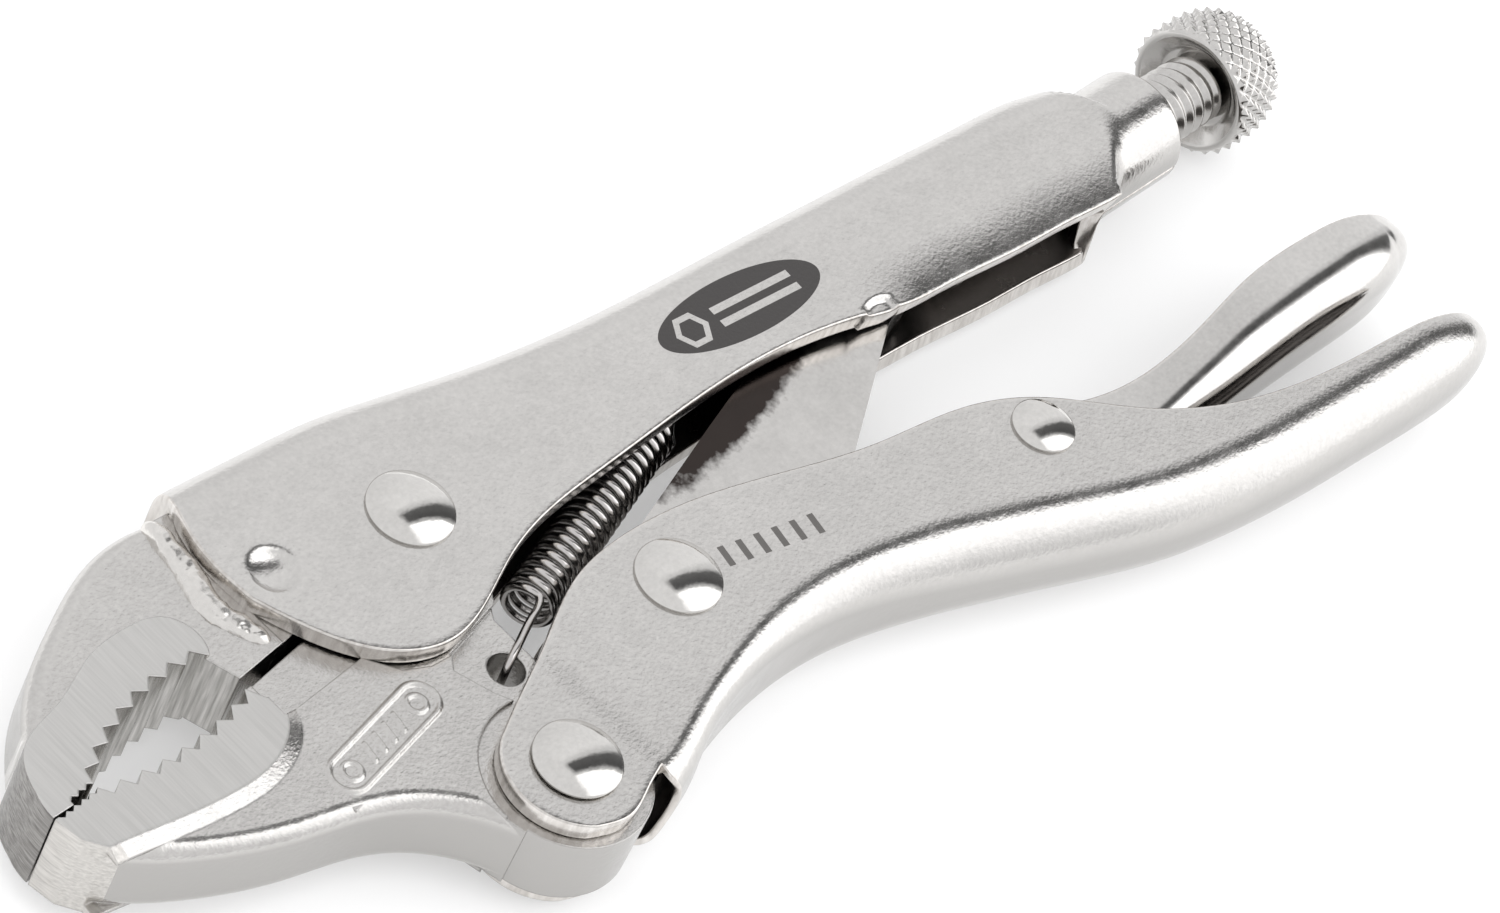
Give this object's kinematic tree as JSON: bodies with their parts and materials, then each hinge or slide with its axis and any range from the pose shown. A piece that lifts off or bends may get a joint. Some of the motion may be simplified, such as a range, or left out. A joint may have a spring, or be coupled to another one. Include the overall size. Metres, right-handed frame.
{
  "type": "locking pliers",
  "caption": "Curved-jaw locking pliers: fixed handle with a welded jaw, pivoting jaw, toggle lever with a release trigger, and a screw that sets the jaw opening.",
  "frame": {"origin": "under the middle of the whole tool lying on its side: middle of the bounding box in X and Y, lowest point in Z", "axes": "+X from the jaw nose to the adjusting knob, +Y from the lever towards the top of the fixed handle, +Z across the tool, up as it lies"},
  "size_m": [0.1804, 0.0644, 0.0156],
  "materials": {
    "nickel_sheet": "satin nickel plate on pressed steel, fine orange-peel grain",
    "nickel_sheet_polished": "nickel plate, satin on the walls and polished in the bends",
    "nickel_sheet_smooth": "smooth satin nickel plate",
    "nickel_forging": "nickel plate on forged steel, cheeks and nose ground bright",
    "weld": "rough nickel-plated weld",
    "nickel_thread": "nickel-plated rolled thread",
    "knurled_nickel": "nickel plate, diamond knurl, machined dish",
    "spring_wire": "dark nickel-plated spring wire",
    "rivet_nickel": "polished nickel plate"
  },
  "bodies": {
    "handle": {"upper_handle": "nickel_sheet", "fixed_jaw": "nickel_forging", "weld_bead_near": "weld", "weld_bead_far": "weld", "jaw_pivot_rivet": "rivet_nickel", "return_spring": "spring_wire"},
    "jaw": {"moving_jaw": "nickel_forging"},
    "lever": {"lever": "nickel_sheet", "lever_pivot_rivet": "rivet_nickel", "link_rivet": "rivet_nickel", "release_lever_rivet": "rivet_nickel"},
    "link": {"toggle_link": "nickel_sheet_smooth"},
    "release": {"release_lever": "nickel_sheet_polished"},
    "screw": {"adjusting_screw": "nickel_thread"},
    "knob": {"adjusting_knob": "knurled_nickel"}
  },
  "joints": [
    {"name": "jaw_pivot", "type": "hinge", "parent": "handle", "child": "jaw", "pos_m": [-0.03814, 0.01636, 0.0078], "axis": [0, 0, 1], "range_deg": [0, 25], "deforming": ["return_spring"]},
    {"name": "lever_pivot", "type": "hinge", "parent": "jaw", "child": "lever", "pos_m": [-0.04544, -0.01294, 0.0078], "axis": [0, 0, 1], "range_deg": [-72.6, 0]},
    {"name": "link_pivot", "type": "hinge", "parent": "lever", "child": "link", "pos_m": [-0.02133, -0.00374, 0.0078], "axis": [0, 0, 1], "range_deg": [0, 73.7]},
    {"name": "release_pivot", "type": "hinge", "parent": "lever", "child": "release", "pos_m": [0.02516, -0.01184, 0.0078], "axis": [0, 0, 1], "range_deg": [-5, 0]},
    {"name": "screw_travel", "type": "slide", "parent": "handle", "child": "screw", "axis": [1, 0, 0], "range_m": [0, 0.016]},
    {"name": "knob_turn", "type": "hinge", "parent": "screw", "child": "knob", "pos_m": [0.08087, 0.01166, 0.0078], "axis": [1, 0, 0], "range_deg": [0, 3600]}
  ],
  "couplings": [
    {"joint": "jaw_pivot", "follows": "lever_pivot", "ratio": -0.3441},
    {"joint": "link_pivot", "follows": "lever_pivot", "ratio": -1.0139},
    {"joint": "knob_turn", "follows": "screw_travel", "rad_per_m": 3927}
  ]
}
